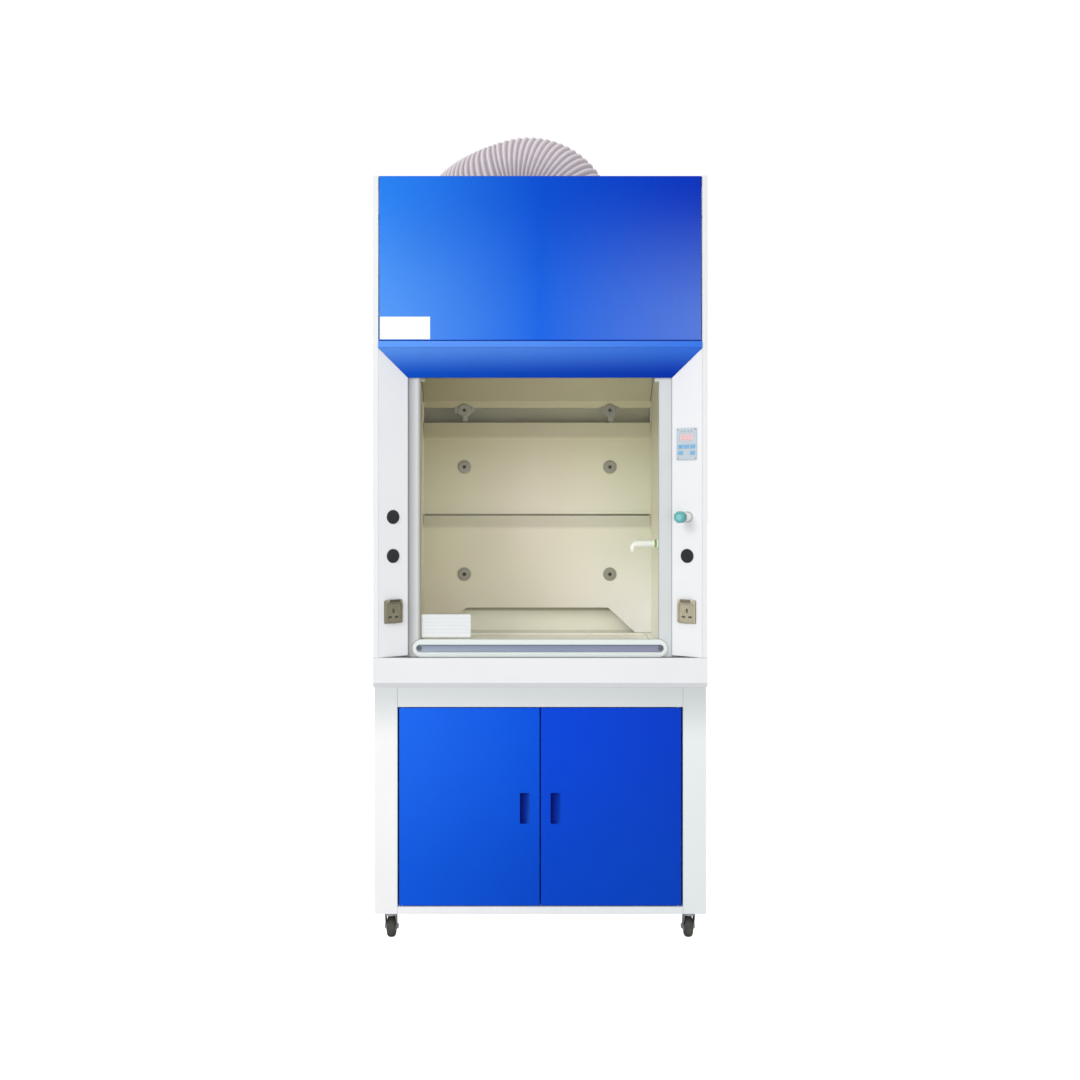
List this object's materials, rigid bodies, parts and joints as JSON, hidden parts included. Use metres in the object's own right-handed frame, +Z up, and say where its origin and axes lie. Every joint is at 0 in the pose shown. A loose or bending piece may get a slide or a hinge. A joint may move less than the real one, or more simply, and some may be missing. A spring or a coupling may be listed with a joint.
{
  "type": "fume hood",
  "caption": "Free-standing ducted laboratory fume hood with a sliding glass sash, castered base cabinet, bevelled service columns and a flexible exhaust duct.",
  "frame": {"origin": "on the floor under the middle of the whole assembly", "axes": "+Z up, X across the front, -Y faces the user"},
  "size_m": [1, 0.8646, 2.5569],
  "materials": {
    "white_steel": "satin powder coat",
    "blue_steel": "semi-gloss powder coat",
    "galvanised": "galvanised sheet",
    "steel": "bright zinc",
    "rubber": "matt grey-black tyre",
    "cream_board": "cream laminate",
    "worktop_grey": "glazed resin",
    "alu_frame": "satin anodised",
    "glass": "clear",
    "white_plastic": "satin moulded",
    "black_plastic": "satin moulded",
    "disc_grey": "satin moulded",
    "teal_plastic": "moulded",
    "panel_grey": "membrane face",
    "key_blue": "moulded key",
    "smoked": "smoked flap",
    "socket_tan": "moulded",
    "hose_grey": "coated fabric duct",
    "iron": "painted",
    "lamp_white": "moulded diffuser"
  },
  "bodies": {
    "cabinet": {"baffle_fixings": "disc_grey", "baffle_lower": "cream_board", "baffle_middle": "cream_board", "baffle_upper": "cream_board", "base_carcass": "white_steel", "base_front_frame": "white_steel", "blanking_plugs": "black_plastic", "canopy_trim": "blue_steel", "caster_plates": "galvanised", "ceiling_panel": "cream_board", "chamber_liner": "cream_board", "column_left": "white_steel", "column_right": "white_steel", "control_panel": "panel_grey", "cup_sink": "white_plastic", "duct_cuff": "galvanised", "electrical_box": "white_plastic", "exhaust_hose": "hose_grey", "exhaust_plenum": "galvanised", "fan_casing": "galvanised", "fan_motor": "iron", "front_cover": "blue_steel", "front_sill": "white_steel", "hose_clamps": "steel", "lamp": "lamp_white", "power_sockets": "socket_tan", "pulley_brackets": "galvanised", "rear_panel": "white_steel", "sash_cables": "steel", "sash_tracks": "black_plastic", "side_panel_left": "white_steel", "side_panel_right": "white_steel", "water_spout": "white_plastic", "water_valve_body": "white_plastic", "worktop": "worktop_grey"},
    "sash": {"sash_frame": "alu_frame", "sash_glass": "glass", "sash_handle": "white_plastic"},
    "sash_weights": {"counterweights": "iron"},
    "sash_pulleys_front": {"front_pulleys": "white_plastic"},
    "sash_pulleys_rear": {"rear_pulleys": "white_plastic"},
    "door_left": {"door_left": "blue_steel"},
    "door_right": {"door_right": "blue_steel"},
    "valve_knob": {"water_valve_knob": "teal_plastic"},
    "socket_flap_left": {"socket_cover_left": "smoked"},
    "socket_flap_right": {"socket_cover_right": "smoked"},
    "impeller": {"fan_impeller": "iron"},
    "button_1": {"key_1": "key_blue"},
    "button_2": {"key_2": "key_blue"},
    "button_3": {"key_3": "key_blue"},
    "button_4": {"key_4": "key_blue"},
    "button_5": {"key_5": "key_blue"},
    "swivel_fl": {"caster_fork_fl": "galvanised"},
    "wheel_fl": {"caster_wheel_fl": "rubber"},
    "swivel_fr": {"caster_fork_fr": "galvanised"},
    "wheel_fr": {"caster_wheel_fr": "rubber"},
    "swivel_rl": {"caster_fork_rl": "galvanised"},
    "wheel_rl": {"caster_wheel_rl": "rubber"},
    "swivel_rr": {"caster_fork_rr": "galvanised"},
    "wheel_rr": {"caster_wheel_rr": "rubber"}
  },
  "joints": [
    {"name": "sash_slide", "type": "slide", "parent": "cabinet", "child": "sash", "axis": [0, 0, 1], "range_m": [0, 0.5], "deforming": ["sash_cables"]},
    {"name": "weights_slide", "type": "slide", "parent": "cabinet", "child": "sash_weights", "axis": [0, 0, 1], "range_m": [-0.5, 0]},
    {"name": "front_pulley_spin", "type": "hinge", "parent": "cabinet", "child": "sash_pulleys_front", "pos_m": [0, -0.279, 2.25], "axis": [1, 0, 0], "range_deg": [-1150, 5]},
    {"name": "rear_pulley_spin", "type": "hinge", "parent": "cabinet", "child": "sash_pulleys_rear", "pos_m": [0, 0.345, 2.25], "axis": [1, 0, 0], "range_deg": [-1150, 5]},
    {"name": "door_left_hinge", "type": "hinge", "parent": "cabinet", "child": "door_left", "pos_m": [-0.414, -0.377, 0.4155], "axis": [0, 0, -1], "range_deg": [0, 105]},
    {"name": "door_right_hinge", "type": "hinge", "parent": "cabinet", "child": "door_right", "pos_m": [0.414, -0.377, 0.4155], "axis": [0, 0, 1], "range_deg": [0, 105]},
    {"name": "water_valve_turn", "type": "hinge", "parent": "cabinet", "child": "valve_knob", "pos_m": [0.41811, -0.41155, 1.284], "axis": [-0.564, -0.8258, 0], "range_deg": [0, 90]},
    {"name": "socket_flap_left_hinge", "type": "hinge", "parent": "cabinet", "child": "socket_flap_left", "pos_m": [-0.43708, -0.37667, 1.032], "axis": [-0.8258, -0.564, 0], "range_deg": [0, 110]},
    {"name": "socket_flap_right_hinge", "type": "hinge", "parent": "cabinet", "child": "socket_flap_right", "pos_m": [0.43708, -0.37667, 1.032], "axis": [-0.8258, 0.564, 0], "range_deg": [0, 110]},
    {"name": "button_1_press", "type": "slide", "parent": "cabinet", "child": "button_1", "axis": [0.564, 0.8258, 0], "range_m": [0, 0.001], "stiffness_N_per_m": 200},
    {"name": "button_2_press", "type": "slide", "parent": "cabinet", "child": "button_2", "axis": [0.564, 0.8258, 0], "range_m": [0, 0.001], "stiffness_N_per_m": 200},
    {"name": "button_3_press", "type": "slide", "parent": "cabinet", "child": "button_3", "axis": [0.564, 0.8258, 0], "range_m": [0, 0.001], "stiffness_N_per_m": 200},
    {"name": "button_4_press", "type": "slide", "parent": "cabinet", "child": "button_4", "axis": [0.564, 0.8258, 0], "range_m": [0, 0.001], "stiffness_N_per_m": 200},
    {"name": "button_5_press", "type": "slide", "parent": "cabinet", "child": "button_5", "axis": [0.564, 0.8258, 0], "range_m": [0, 0.001], "stiffness_N_per_m": 200},
    {"name": "impeller_spin", "type": "hinge", "parent": "cabinet", "child": "impeller", "pos_m": [0.135, 0.097, 2.028], "axis": [1, 0, 0], "continuous": true},
    {"name": "caster_fl_swivel", "type": "hinge", "parent": "cabinet", "child": "swivel_fl", "pos_m": [-0.453, -0.338, 0.08], "axis": [0, 0, 1], "continuous": true},
    {"name": "caster_fl_roll", "type": "hinge", "parent": "swivel_fl", "child": "wheel_fl", "pos_m": [-0.453, -0.316, 0.0325], "axis": [1, 0, 0], "continuous": true},
    {"name": "caster_fr_swivel", "type": "hinge", "parent": "cabinet", "child": "swivel_fr", "pos_m": [0.453, -0.338, 0.08], "axis": [0, 0, 1], "continuous": true},
    {"name": "caster_fr_roll", "type": "hinge", "parent": "swivel_fr", "child": "wheel_fr", "pos_m": [0.453, -0.316, 0.0325], "axis": [1, 0, 0], "continuous": true},
    {"name": "caster_rl_swivel", "type": "hinge", "parent": "cabinet", "child": "swivel_rl", "pos_m": [-0.453, 0.338, 0.08], "axis": [0, 0, 1], "continuous": true},
    {"name": "caster_rl_roll", "type": "hinge", "parent": "swivel_rl", "child": "wheel_rl", "pos_m": [-0.453, 0.36, 0.0325], "axis": [1, 0, 0], "continuous": true},
    {"name": "caster_rr_swivel", "type": "hinge", "parent": "cabinet", "child": "swivel_rr", "pos_m": [0.453, 0.338, 0.08], "axis": [0, 0, 1], "continuous": true},
    {"name": "caster_rr_roll", "type": "hinge", "parent": "swivel_rr", "child": "wheel_rr", "pos_m": [0.453, 0.36, 0.0325], "axis": [1, 0, 0], "continuous": true}
  ],
  "couplings": [
    {"joint": "weights_slide", "follows": "sash_slide", "ratio": -1},
    {"joint": "front_pulley_spin", "follows": "sash_slide", "rad_per_m": -40},
    {"joint": "rear_pulley_spin", "follows": "sash_slide", "rad_per_m": -40}
  ]
}
